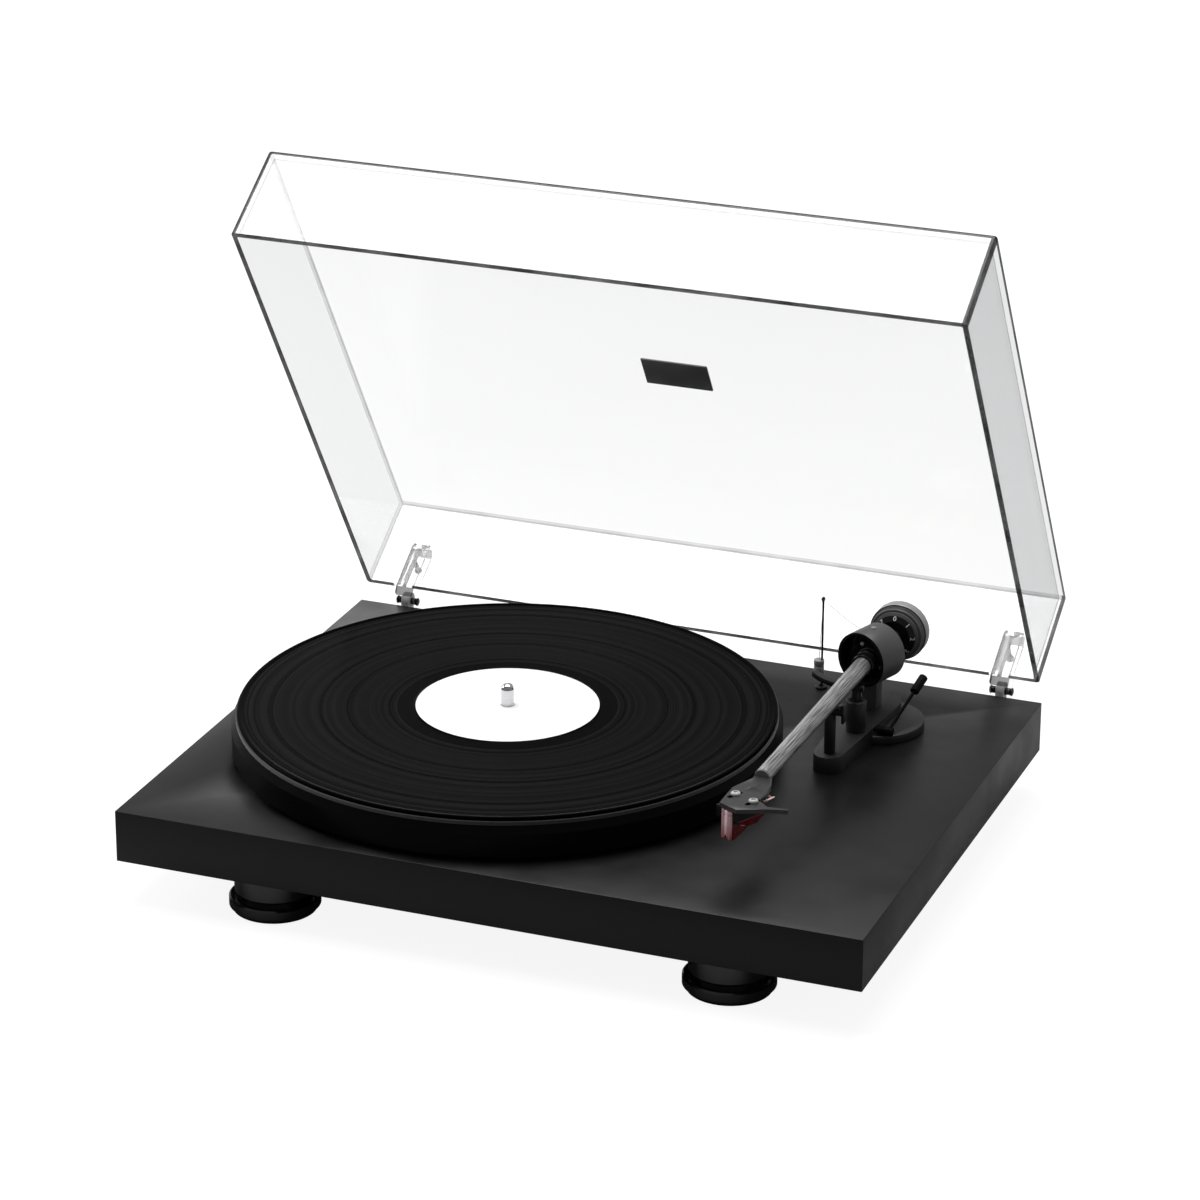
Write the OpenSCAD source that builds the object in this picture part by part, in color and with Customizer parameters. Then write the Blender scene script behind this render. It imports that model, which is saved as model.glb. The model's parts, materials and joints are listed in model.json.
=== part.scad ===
// Belt-driven record player with a clear hinged dust cover, in millimetres.
// The object stands on z = 0, +X is the tonearm side, -Y is the front.

/* [Plinth] */
// Width of the plinth
plinth_w = 415; // [405:1:430]
// Depth of the plinth
plinth_d = 320; // [316:1:335]
// Thickness of the plinth
plinth_t = 29; // [28:1:34]
// Height of the feet under the plinth
foot_h = 24; // [20:1:30]

/* [Platter] */
// Radius of the platter
platter_r = 150; // [146:1:151]
// Thickness of the platter
platter_t = 18; // [17:0.5:19]
// Thickness of the felt mat
mat_t = 2; // [1:0.5:2]
// Thickness of the record
record_t = 2; // [1.2:0.2:2]
// Radius of the record
record_r = 147; // [140:1:147]
// Radius of the record's paper label
label_r = 50; // [45:1:52]

/* [Tonearm] */
// Height of the tonearm's pivot above the plinth
pivot_h = 40.5; // [39.5:0.5:41]
// Distance from the pivot back to the end of the counterweight
tail_l = 52.8; // [51:0.2:53]
// Outer radius of the fixed gimbal ring
gimbal_r = 15.6; // [15:0.2:16]
// Radius of the counterweight
weight_r = 16.5; // [15:0.5:17]

/* [Dust cover] */
// Width of the dust cover
cover_w = 410; // [400:1:415]
// Depth of the dust cover
cover_d = 314; // [310:1:316]
// Height of the dust cover
cover_h = 60; // [60:1:66]
// Thickness of the clear plastic
cover_wall = 3; // [2.5:0.5:3.5]
// Angle at which the cover stands open
cover_open = 57.25; // [40:0.25:60]

/* [Hidden] */
$fn = 96;
eps = 0.01;

// Overall placing: work below is in a deck frame, whose origin is the middle of the plinth's top.
deck_z = foot_h + plinth_t;
half_w = plinth_w / 2;
half_d = plinth_d / 2;
hinge_y = half_d + 8.8;
hinge_z = -0.2;
cover_back = 157;
cover_top = 0.5 + cover_h;
open_rear = hinge_y + (cover_back - hinge_y) * cos(cover_open) + (cover_top - hinge_z) * sin(cover_open);
middle_y = (open_rear - half_d) / 2;

// Platter drive
spindle_at = [-47.5, -3.5];
platter_z = 2;
mat_z = platter_z + platter_t;
record_z = mat_z + mat_t;
record_top = record_z + record_t;
label_t = 0.15;
pin_r = 3.575;
neck_r = 3.35;
axle_r = 5;
sub_r = 64;
motor_at = spindle_at + [-94, -66];
pulley_r = 6.4;
belt_gap = 0.3;
belt_t = 0.6;
web_z = 13;

// Tonearm
pivot_at = [127, 99.6];
arm_rise = 1.05;
ring_turn = -19;
ring_len = 17;
ring_inner_r = gimbal_r - 2;
tube_end = 184;
tube_r = 4.9;
tube_tip_r = 4.3;
tail_drop = 3.8;
tail_r = 4;
scale_start = 38;
weight_start = 41.6;
recess_r = 12;
head_at = [1.2, -214.6];
head_turn = -25.3;
head_top = 0.6;
head_t = 2.2;
screw_gap = 12.7;
tip_drop = 18.9;

// Arm base and what stands on it
base_t = 9.5;
disc_t = 5;
disc_at = [131.4, 95.5];
disc_r = 26.4;
base_front = [125, 31.5];
base_front_r = 8.3;
base_back = [127.5, 108.5];
base_back_r = 13.5;
lift_at = [129.2, 65.1];
lift_bar_r = 34.5;
lift_bar_top = 35.7;
lever_at = [145, 74, 7.6];
lever_reach = [8.5, 36, 19.4];
wire_at = [86.3, 134.8];
wire_top = 54.5;
eye_offset = -1.7;
thread_r = 0.2;
skate_z = 8;

// Places under and behind the plinth
feet_at = [[-128, -133], [128, -133], [0, 133]];
switch_at = [-170, -138];
sockets_x = [102, 120];
ground_x = 86;
inlet_x = -120;
rear_z = -14;
board_at = [-60, 60];
hinge_x = [-181.5, 181.5];
block_w = 11.4;

module deck() {
  translate([0, -middle_y, deck_z]) children();
}

module at_spindle() {
  deck() translate([spindle_at.x, spindle_at.y, 0]) children();
}

// The arm's own frame: pivot at the origin, -Y towards the headshell.
module at_arm() {
  deck() translate([pivot_at.x, pivot_at.y, pivot_h]) rotate([-arm_rise, 0, 0]) children();
}

module at_head() {
  at_arm() translate([head_at.x, head_at.y, head_top]) rotate([0, 0, head_turn]) children();
}

module at_cover() {
  deck() translate([0, hinge_y, hinge_z]) rotate([-cover_open, 0, 0]) translate([0, -hinge_y, -hinge_z])
    children();
}

// A round bar of radius r along -Y, from y = a down to y = b.
module bar_y(a, b, r, tip = -1) {
  translate([0, a, 0]) rotate([90, 0, 0]) cylinder(h = a - b, r1 = r, r2 = tip < 0 ? r : tip);
}

// A round bar centred on x = 0 and lying along X.
module bar_x(length, r) {
  translate([-length / 2, 0, 0]) rotate([0, 90, 0]) cylinder(h = length, r = r);
}

// A round bar from point a to point b.
module bar(a, b, r) {
  v = b - a;
  translate(a) rotate([0, acos(v.z / norm(v)), atan2(v.y, v.x)]) cylinder(h = norm(v), r = r);
}

module ring(outer, inner, z, h) {
  translate([0, 0, z]) difference() {
    cylinder(h = h, r = outer);
    translate([0, 0, -1]) cylinder(h = h + 2, r = inner);
  }
}

// The outline that a tight belt makes round two circles.
module belt_outline(p, pr, q, qr) {
  v = q - p;
  a = atan2(v.y, v.x);
  b = acos((pr - qr) / norm(v));
  translate(p) circle(r = pr);
  translate(q) circle(r = qr);
  polygon([
    p + pr * [cos(a + b), sin(a + b)], p + pr * [cos(a - b), sin(a - b)],
    q + qr * [cos(a - b), sin(a - b)], q + qr * [cos(a + b), sin(a + b)]
  ]);
}

module screw_head(r, h) {
  difference() {
    cylinder(h = h, r = r);
    translate([-r, -0.3, h - 0.5]) cube([2 * r, 0.6, 1]);
  }
}

// ---- Plinth and what is fixed in it ----

module plinth() {
  color("#262626") deck() difference() {
    translate([-half_w, -half_d, -plinth_t]) cube([plinth_w, plinth_d, plinth_t]);
    translate([spindle_at.x, spindle_at.y, -plinth_t - 1]) cylinder(h = plinth_t + 2, r = 10);
    translate([motor_at.x, motor_at.y, -plinth_t - 1]) cylinder(h = plinth_t + 2, r = 21);
    translate([motor_at.x, motor_at.y, -1.5]) cylinder(h = 3, r = 27);
    for (p = feet_at)
      translate([p.x, p.y, -plinth_t - 1]) cylinder(h = 21, r = 5);
    translate([switch_at.x - 11, switch_at.y - 8, -plinth_t - 1]) cube([22, 16, 17]);
    translate([board_at.x - 50, board_at.y - 40, -plinth_t - 1]) cube([100, 80, 15]);
    translate([board_at.x - 55, board_at.y - 45, -plinth_t - 1]) cube([110, 90, 3]);
    translate([70, half_d - 22, rear_z - 9]) cube([66, 23, 18]);
    translate([inlet_x - 8, half_d - 22, rear_z - 8]) cube([16, 23, 16]);
    translate([pivot_at.x, pivot_at.y, -plinth_t - 1]) cylinder(h = plinth_t + 2, r = 4);
  }
}

module bearing_housing() {
  color("#b08d57") at_spindle() difference() {
    union() {
      translate([0, 0, -24]) cylinder(h = 24, r = 9.97);
      cylinder(h = 2.5, r = 16);
    }
    translate([0, 0, -21.5]) cylinder(h = 30, r = axle_r + 0.05);
  }
}

module thrust_ball() {
  color("silver") at_spindle() translate([0, 0, -20.05]) sphere(r = 1.45);
}

module motor_body() {
  color("#8c8f93") deck() translate([motor_at.x, motor_at.y, 0]) difference() {
    union() {
      translate([0, 0, -26]) cylinder(h = 20, r = 18);
      translate([0, 0, -6]) cylinder(h = 2, r = 5);
    }
    translate([0, 0, -16]) cylinder(h = 13, r = 1.05);
  }
}

module motor_mount() {
  color("#1c1c1c") deck() translate([motor_at.x, motor_at.y, 0]) ring(20.97, 18.03, -16, 7);
}

module motor_plate() {
  color("#3a3a3a") deck() translate([motor_at.x, motor_at.y, 0]) difference() {
    translate([0, 0, -1.5]) cylinder(h = 1.5, r = 26.95);
    translate([0, 0, -3]) cylinder(h = 5, r = 6);
    for (a = [45 : 90 : 315])
      rotate([0, 0, a]) translate([23.5, 0, -3]) cylinder(h = 5, r = 1.6);
  }
}

module control_board() {
  color("#1f5a3a") deck() translate([board_at.x, board_at.y, -plinth_t]) {
    difference() {
      translate([-46, -36, 5]) cube([92, 72, 1.6]);
      for (x = [-42, 42], y = [-32, 32])
        translate([x, y, 4]) cylinder(h = 4, r = 1.6);
    }
    for (x = [-30, -14, 2])
      translate([x, 14, 6.6]) cylinder(h = 6, r = 4);
    translate([12, -20, 6.6]) cube([22, 16, 2]);
    translate([-34, -24, 6.6]) cube([14, 10, 4]);
  }
}

module bottom_cover() {
  color("#303030") deck() translate([board_at.x, board_at.y, -plinth_t]) difference() {
    translate([-54.8, -44.8, 0]) cube([109.6, 89.6, 1.8]);
    for (x = [-30 : 10 : 30])
      translate([x - 1.5, -20, -1]) cube([3, 40, 4]);
    for (x = [-51.5, 51.5], y = [-41.5, 41.5])
      translate([x, y, -1]) cylinder(h = 4, r = 1.6);
  }
}

module connector_panel() {
  color("#2b2b2b") deck() translate([0, half_d - 1.6, rear_z]) difference() {
    translate([70.1, 0, -8.9]) cube([65.8, 1.5, 17.8]);
    for (x = sockets_x)
      translate([x, 3, 0]) bar_y(0, -5, 4.6);
    translate([ground_x, 3, 0]) bar_y(0, -5, 2.1);
  }
}

module phono_sockets() {
  color("#c9a74a") deck() for (x = sockets_x)
    translate([x, half_d, rear_z]) difference() {
      union() {
        bar_y(9, 0, 4.15);
        bar_y(0, -14, 4.5);
        bar_y(-1.7, -5, 6);
      }
      bar_y(10, 1, 1.7);
    }
}

module ground_terminal() {
  color("#c9a74a") deck() translate([ground_x, half_d, rear_z]) {
    bar_y(7, -10, 2);
    bar_y(-1.7, -4, 4);
    difference() {
      bar_y(4.5, 0.6, 4.5);
      for (a = [0 : 30 : 330])
        rotate([0, a, 0]) translate([0, 0, 4.7]) bar_y(6, -1, 0.6);
    }
  }
}

module power_inlet() {
  color("#1a1a1a") deck() translate([inlet_x, half_d, rear_z]) {
    difference() {
      translate([-7.9, -20, -7.9]) cube([15.8, 19.9, 15.8]);
      bar_y(1, -12, 2.9);
    }
    bar_y(-2, -12, 1.05);
  }
}

module hinge_brackets() {
  color("#8f9296") deck() for (x = hinge_x)
    translate([x, 0, 0]) difference() {
      union() {
        translate([0, hinge_y, hinge_z]) bar_x(4.5, 5);
        translate([-2.25, half_d + 2.4, -24]) cube([4.5, hinge_y - half_d + 0.6, 22]);
        translate([-9, half_d + 0.02, -25]) cube([18, 2.4, 17]);
      }
      translate([0, hinge_y, hinge_z]) bar_x(6, 2.06);
      for (side = [-5.8, 5.8])
        translate([side, half_d + 4, -16.5]) bar_y(0, -6, 1.6);
      translate([-3, half_d + 6, -30]) rotate([30, 0, 0]) cube([6, 12, 12]);
    }
}

module bracket_screws() {
  color("#202020") deck() for (x = hinge_x, side = [-5.8, 5.8])
    translate([x + side, half_d, -16.5]) {
      bar_y(2.42, 0.02, 1.58);
      translate([0, 2.42, 0]) rotate([-90, 0, 0]) screw_head(2.8, 1.3);
    }
}

module foot_inserts() {
  color("#b08d57") deck() for (p = feet_at)
    translate([p.x, p.y, 0]) ring(4.98, 3.06, -plinth_t + 0.5, 19);
}

module switch_housing() {
  color("#1a1a1a") deck() translate([switch_at.x, switch_at.y, -plinth_t]) difference() {
    translate([-10.9, -7.9, 0]) cube([21.8, 15.8, 15.9]);
    translate([-8.5, -5.5, -1]) cube([17, 11, 12]);
    translate([0, 0, 4]) rotate([0, 0, 90]) bar_x(14, 1.26);
  }
}

module drive_belt() {
  near = sub_r + belt_gap;
  far = pulley_r + belt_gap;
  color("#101010") deck() translate([0, 0, 4.5]) linear_extrude(5) difference() {
    belt_outline(spindle_at, near + belt_t, motor_at, far + belt_t);
    belt_outline(spindle_at, near, motor_at, far);
  }
}

// ---- Rotating group ----

module spindle() {
  color("#d5d7d9") at_spindle() {
    translate([0, 0, -18.5]) cylinder(h = 18.5 + web_z, r = axle_r);
    translate([0, 0, web_z]) cylinder(h = record_top + 0.3 - web_z, r = neck_r);
    translate([0, 0, record_top + 0.3]) rotate_extrude() polygon([
      [0, 0], [pin_r, 0], [pin_r, 9], [3.2, 10.4], [2.5, 11.3], [1.3, 11.9], [0, 12.1]
    ]);
  }
}

module sub_platter() {
  color("#2a2a2a") at_spindle() difference() {
    rotate_extrude() polygon([
      [axle_r, 3.2], [14, 3.2], [14, 8.5], [60, 8.5], [60, 3.5], [sub_r, 3.5], [sub_r, web_z], [axle_r, web_z]
    ]);
    for (a = [0 : 60 : 300])
      rotate([0, 0, a]) translate([37, 0, 8]) cylinder(h = 6, r = 9);
  }
}

module platter() {
  color("#1d1d1d") at_spindle() rotate_extrude($fn = 256) polygon([
    [neck_r + 0.15, web_z], [134, web_z], [134, platter_z], [platter_r - 0.8, platter_z],
    [platter_r, platter_z + 0.8], [platter_r, mat_z - 4.2], [platter_r - 2.4, mat_z], [neck_r + 0.15, mat_z]
  ]);
}

module damping_ring() {
  color("#101010") at_spindle() ring(133.95, 128, 8.5, web_z - 8.5);
}

module mat() {
  color("#1a1a1a") at_spindle() ring(platter_r - 2.4, 3.9, mat_z, mat_t);
}

module record() {
  color("#0c0c0c") at_spindle() translate([0, 0, record_z]) rotate_extrude($fn = 256) polygon([
    [3.62, 0], [record_r - 0.6, 0], [record_r, 0.6], [record_r, record_t - 0.5], [record_r - 0.5, record_t],
    [record_r - 2.2, record_t], [record_r - 3.2, record_t - 0.35], [label_r + 8, record_t - 0.35],
    [label_r + 1, record_t - 0.2], [label_r + 0.4, record_t], [3.62, record_t]
  ]);
}

module record_label() {
  color("white") at_spindle() ring(label_r, 3.7, record_top, label_t);
}

module motor_shaft() {
  color("silver") deck() translate([motor_at.x, motor_at.y, -14]) cylinder(h = 26, r = 1);
}

module motor_pulley() {
  color("#9fa2a6") deck() translate([motor_at.x, motor_at.y, 0]) rotate_extrude() polygon([
    [1, 2.2], [8, 2.2], [8, 3], [pulley_r, 3.6], [pulley_r, 10.4], [8, 11], [8, 11.6], [1, 11.6]
  ]);
}

module switch_rocker() {
  color("#2e2e2e") deck() translate([switch_at.x, switch_at.y, -plinth_t + 4]) {
    rotate([0, 0, 90]) bar_x(13.6, 1.2);
    translate([0, 5.2, 0]) rotate([90, 0, 0]) linear_extrude(10.4)
      polygon([[-7.4, -4.4], [0, -3.4], [7.4, -4.4], [6.8, 2], [-6.8, 2]]);
  }
}

// ---- Arm base ----

module arm_base_disc() {
  color("#3b3b3b") deck() difference() {
    translate([disc_at.x, disc_at.y, 0]) cylinder(h = disc_t, r = disc_r);
    translate([pivot_at.x, pivot_at.y, -1]) cylinder(h = disc_t + 2, r = 4);
  }
}

module arm_base() {
  color("#343434") deck() difference() {
    linear_extrude(base_t) belt_outline(base_front, base_front_r, base_back, base_back_r);
    translate([disc_at.x, disc_at.y, -1]) cylinder(h = disc_t + 1.02, r = disc_r + 0.03);
    translate([lever_at.x - 7, lever_at.y, lever_at.z]) bar_x(16, 1.25);
  }
}

module gimbal_ring() {
  color("#2a2a2a") deck() translate([pivot_at.x, pivot_at.y, 0]) difference() {
    union() {
      translate([0, 0, pivot_h]) rotate([0, 0, ring_turn]) bar_y(ring_len / 2, -ring_len / 2, gimbal_r);
      translate([-4.2, -5, base_t]) cube([8.4, 10, pivot_h - base_t - gimbal_r + 2.5]);
    }
    translate([0, 0, pivot_h]) rotate([0, 0, ring_turn]) bar_y(ring_len, -ring_len, ring_inner_r);
    translate([0, 0, pivot_h]) cylinder(h = 20, r = 1.5);
    translate([0, 0, base_t - 1]) cylinder(h = 20, r = 1.5);
  }
}

module pivot_screw(base, tip) {
  translate([0, 0, ring_inner_r - 0.1]) cylinder(h = base - ring_inner_r + 0.1, r = 1.48);
  translate([0, 0, tip]) cylinder(h = ring_inner_r - tip, r = 0.8);
}

module gimbal_screws() {
  color("silver") deck() translate([pivot_at.x, pivot_at.y, pivot_h]) {
    pivot_screw(gimbal_r + 0.3, 12);
    mirror([0, 0, 1]) pivot_screw(gimbal_r + 0.3, 12);
  }
}

module rest_post() {
  color("#161616") deck() translate([base_front.x + 0.6, base_front.y - 0.5, base_t]) {
    cylinder(h = 23.5, r = 3.1);
  }
}

// Open-topped cradle; the side towards the platter is the lower one.
module rest_clip() {
  seat = 36.6;
  color("#121212") deck() translate([base_front.x + 0.6, base_front.y - 0.5, 0]) difference() {
    union() {
      translate([-7, -3.2, 33]) cube([15.4, 6.4, 3.2]);
      translate([7, -3.2, 28.5]) cube([1.4, 6.4, 11]);
      translate([6.2, -3.2, 34]) cube([2.2, 6.4, 4.5]);
    }
    translate([1.4, 0, seat + 4.6]) bar_y(5, -5, 5.3);
  }
}

module lift_housing() {
  color("#202020") deck() translate([lift_at.x, lift_at.y, base_t]) difference() {
    cylinder(h = 17.8, r = 5.5);
    translate([0, 0, 3]) cylinder(h = 20, r = 2.56);
  }
}

// Upright wire with an eye at its top for the anti-skating thread.
module thread_wire() {
  color("#2d2d2d") deck() translate([wire_at.x, wire_at.y, 0]) {
    cylinder(h = 1.4, r = 3.4);
    translate([0, 0, 1.4]) cylinder(h = wire_top - 1.4, r = 0.7);
    translate([eye_offset, 0, 0]) ring(1.7, 0.75, wire_top - 0.8, 0.8);
  }
}

// Thread over the eye: one stretch hangs to the weight, the other runs to the arm.
module thread() {
  eye = [wire_at.x + eye_offset, wire_at.y, wire_top + 1.4];
  peg = [pivot_at.x - 9.2, pivot_at.y + 22.2, pivot_h + 2];
  color("#d8d8d8") deck() {
    bar([eye.x, eye.y, skate_z + 9.3], eye, thread_r);
    translate(eye) sphere(r = thread_r * 1.2);
    bar(eye, peg, thread_r);
  }
}

// ---- Moving parts of the tonearm ----

module inner_gimbal() {
  inner_r = 9.6;
  outer_r = 12.6;
  color("#1b1b1b") deck() translate([pivot_at.x, pivot_at.y, pivot_h]) difference() {
    bar_y(3.4, -3.4, outer_r);
    bar_y(4, -4, inner_r);
    bar_x(30, 1.5);
    for (s = [0, 1])
      mirror([0, 0, s]) translate([0, 0, 11.9]) cylinder(h = 2, r = 0.86);
  }
}

module pitch_screws() {
  color("silver") deck() translate([pivot_at.x, pivot_at.y, pivot_h]) for (s = [0, 1])
    mirror([s, 0, 0]) {
      translate([7, 0, 0]) rotate([0, 90, 0]) cylinder(h = 5.7, r = 1.49);
      translate([5.6, 0, 0]) rotate([0, 90, 0]) cylinder(h = 1.4, r = 0.8);
    }
}

module arm_collar() {
  color("#151515") at_arm() difference() {
    union() {
      bar_y(9, -9, 6.4);
      translate([0, 0, -tail_drop / 2]) bar_y(12, 8.5, 7.6);
    }
    bar_y(9, -10, tube_r);
    rotate([arm_rise, 0, 0]) bar_x(30, 0.86);
  }
}

module arm_tube() {
  color("#2c2c2c") at_arm() difference() {
    union() {
      bar_y(8.9, -12, tube_r);
      bar_y(-12, -tube_end, tube_r, tube_tip_r);
    }
    bar_y(5, -tube_end - 1, 3.4);
    rotate([arm_rise, 0, 0]) bar_x(30, 0.86);
  }
}

// Flat plate set at the offset angle, with a plug into the tube and a finger lift.
module headshell() {
  outline = [
    [-16.3, 28.6], [-14.2, 5.8], [-10.3, -2.5], [-4.9, -13], [7.3, -13.5], [17.6, -1.4],
    [25.6, 5.2], [24.6, 6.7], [15.4, 0.8], [7, 3.4], [3.4, 12], [-1.5, 20.8], [-10.4, 30.7]
  ];
  color("#3a3a3a") {
    at_head() difference() {
      translate([0, 0, -head_t]) linear_extrude(head_t) polygon(outline);
      for (side = [-1, 1])
        translate([side * screw_gap / 2, 0, -5]) cylinder(h = 10, r = 1.35);
      rotate([0, 0, -head_turn]) translate([-head_at.x, -head_at.y, -head_top])
        bar_y(-tube_end + 9, -tube_end, tube_tip_r + 0.1);
    }
    at_arm() bar_y(-tube_end, -tube_end - 16, tube_tip_r, 1.2);
  }
}

module cartridge_body() {
  color("#161616") at_head() difference() {
    translate([0, 0, -head_t]) {
      translate([-8, -12.2, -5]) cube([16, 20, 5]);
      translate([8, 0, 0]) rotate([90, 0, -90]) linear_extrude(16)
        polygon([[-7.8, -5], [12.2, -5], [12.2, -6.4], [4, -10.6], [-1, -10.6]]);
    }
    for (side = [-1, 1])
      translate([side * screw_gap / 2, 0, -8]) cylinder(h = 8, r = 1.25);
  }
}

// Removable needle carrier: translucent wedge with a notched nose.
module stylus_unit() {
  color("#8a1016") at_head() translate([0, 0, -head_t]) difference() {
    translate([4.6, 0, 0]) rotate([90, 0, -90]) linear_extrude(9.2)
      polygon([[12.6, -6.5], [12.9, -16.4], [11, -16.6], [4, -13.4], [-1, -10.7], [4, -10.7]]);
    translate([-1.2, -14, -20]) cube([2.4, 6.4, 8]);
  }
}

module cantilever() {
  color("#c8c8c8") at_head() {
    bar([0, -7.95, -head_t - 13.2], [0, -9.7, -tip_drop - head_top + 1.1], 0.35);
    translate([0, -9.5, -tip_drop - head_top + 0.3]) cylinder(h = 1.2, r1 = 0.1, r2 = 0.3);
  }
}

module cartridge_screws() {
  color("white") at_head() for (side = [-1, 1])
    translate([side * screw_gap / 2, 0, 0]) {
      translate([0, 0, -head_t - 4]) cylinder(h = head_t + 4, r = 1.24);
      screw_head(2.5, 1.6);
    }
}

// Rear shaft, set below the tube, with the peg that holds the anti-skating thread.
module tail_shaft() {
  color("#242424") at_arm() {
    translate([0, 0, -tail_drop]) bar_y(50, 12, tail_r);
    bar([0, 22, -tail_drop], [-8.4, 22, 1.6], 0.9);
  }
}

module counterweight() {
  color("#4b4b4b") at_arm() translate([0, 0, -tail_drop]) rotate([-90, 0, 0]) rotate_extrude() polygon([
    [tail_r + 0.06, weight_start], [weight_r - 1.9, weight_start], [weight_r - 1.5, weight_start + 0.4],
    [weight_r - 1.5, weight_start + 2.4], [weight_r - 2.3, weight_start + 2.7], [weight_r - 2.3, weight_start + 3.7],
    [weight_r - 0.5, weight_start + 3.7], [weight_r, weight_start + 4.2], [weight_r, tail_l - 0.7],
    [weight_r - 0.7, tail_l], [recess_r, tail_l], [recess_r, tail_l - 8], [tail_r + 0.06, tail_l - 8]
  ]);
}

module scale_ring() {
  color("#151515") at_arm() translate([0, 0, -tail_drop]) rotate([-90, 0, 0]) rotate_extrude() polygon([
    [tail_r + 0.06, scale_start], [9, scale_start], [13.4, weight_start - 1.2], [13.4, weight_start - 0.05],
    [tail_r + 0.06, weight_start - 0.05]
  ]);
}

// Small weight on the thread; the upright wire passes through it and keeps it straight.
module skating_weight() {
  color("#6a6a6a") deck() translate([wire_at.x + eye_offset, wire_at.y, skate_z]) difference() {
    cylinder(h = 9, r = 2.9);
    translate([-eye_offset, 0, -1]) cylinder(h = 11, r = 0.78);
    translate([0, 0, 4.9]) ring(4, 2.6, 0, 0.9);
  }
}

// ---- Cueing ----

module cue_lever() {
  color("#1d1d1d") deck() {
    translate([lever_at.x - 1.6, lever_at.y, lever_at.z]) bar_x(8.6, 2.3);
    translate([lever_at.x - 9.2, lever_at.y, lever_at.z]) bar_x(7, 1.2);
    bar(lever_at, lever_at + lever_reach * 0.98, 0.9);
  }
}

module cue_knob() {
  color("#101010") deck() difference() {
    bar(lever_at + lever_reach * 0.72, lever_at + lever_reach, 2.5);
    bar(lever_at, lever_at + lever_reach * 0.98, 0.9);
  }
}

module cue_lift() {
  bar_z = lift_bar_top - 3;
  color("#181818") deck() {
    translate([lift_at.x, lift_at.y, base_t + 8.2]) cylinder(h = bar_z - base_t - 8.2, r = 2.5);
    translate([pivot_at.x, pivot_at.y, bar_z]) intersection() {
      ring(lift_bar_r + 1.8, lift_bar_r - 1.8, 0, 3);
      linear_extrude(3) polygon([
        [0, 0], 60 * [cos(-80), sin(-80)], 60 * [cos(-110), sin(-110)], 60 * [cos(-138), sin(-138)]
      ]);
    }
  }
}

// ---- Dust cover ----

module dust_cover() {
  inner_h = cover_h - cover_wall;
  color([0.85, 0.88, 0.9, 0.35]) at_cover() difference() {
    translate([-cover_w / 2, cover_back - cover_d, 0.5]) cube([cover_w, cover_d, cover_h]);
    translate([-cover_w / 2 + cover_wall, cover_back - cover_d + cover_wall, 0.5 - 1])
      cube([cover_w - 2 * cover_wall, cover_d - 2 * cover_wall, inner_h + 1]);
  }
}

module cover_badge() {
  color("#202020") at_cover() translate([-19, -13.5, cover_top + eps]) cube([39, 21, 1.2]);
}

// Clear clevis blocks on the outside of the cover's back wall.
module hinge_blocks() {
  profile = [
    [cover_back, 1.2], [cover_back + 3.6, 1.2], [hinge_y, hinge_z], [hinge_y + 5.5, 3],
    [hinge_y + 5.5, 20], [hinge_y + 1.5, 29], [cover_back + 6, 33.5], [cover_back, 33.5]
  ];
  color([0.85, 0.88, 0.9, 0.5]) at_cover() for (x = hinge_x)
    translate([x, 0, 0]) difference() {
      union() {
        translate([-block_w / 2, 0, 0]) rotate([90, 0, 90]) linear_extrude(block_w) polygon(profile);
        translate([0, hinge_y, hinge_z]) bar_x(block_w, 6.3);
      }
      translate([0, hinge_y, hinge_z]) bar_x(block_w + 2, 2);
      translate([0, hinge_y, hinge_z]) bar_x(5.1, 6.9);
      translate([-2.55, cover_back + 2.9, -8]) cube([5.1, 20, 8 + hinge_z + 5.6]);
      translate([0, hinge_y + 8, 20]) bar_y(0, -20, 1.5);
    }
}

module hinge_pins() {
  color("#2a2a2a") at_cover() for (x = hinge_x) {
    translate([x, hinge_y, hinge_z]) bar_x(block_w + 1, 1.99);
    for (side = [-1, 1])
      translate([x + side * (block_w / 2 + 0.6), hinge_y, hinge_z]) bar_x(1.1, 2.5);
    translate([x, hinge_y + 5.5, 20]) bar_y(0.9, 0, 2.4);
    translate([x, hinge_y + 5.5, 20]) bar_y(0, cover_back - hinge_y - 5.5, 1.48);
  }
}

// ---- Feet ----

module foot(p) {
  color("#101010") deck() translate([p.x, p.y, -plinth_t]) {
    rotate_extrude() polygon([
      [0, -foot_h + 1.5], [23.2, -foot_h + 1.5], [24.5, -foot_h + 2.6], [24.5, -foot_h + 7],
      [23.6, -foot_h + 7.8], [19.4, -foot_h + 7.8], [19.4, -foot_h + 9.2], [20.4, -foot_h + 9.6],
      [21.5, -foot_h + 11.4], [21.5, -1.2], [20.8, -0.5], [0, -0.5]
    ]);
    translate([0, 0, -foot_h]) cylinder(h = 1.5, r = 22.5);
    translate([0, 0, -0.5]) cylinder(h = 17, r = 3);
  }
}

module foot_left() {
  foot(feet_at[0]);
}

module foot_right() {
  foot(feet_at[1]);
}

module foot_rear() {
  foot(feet_at[2]);
}

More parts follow.
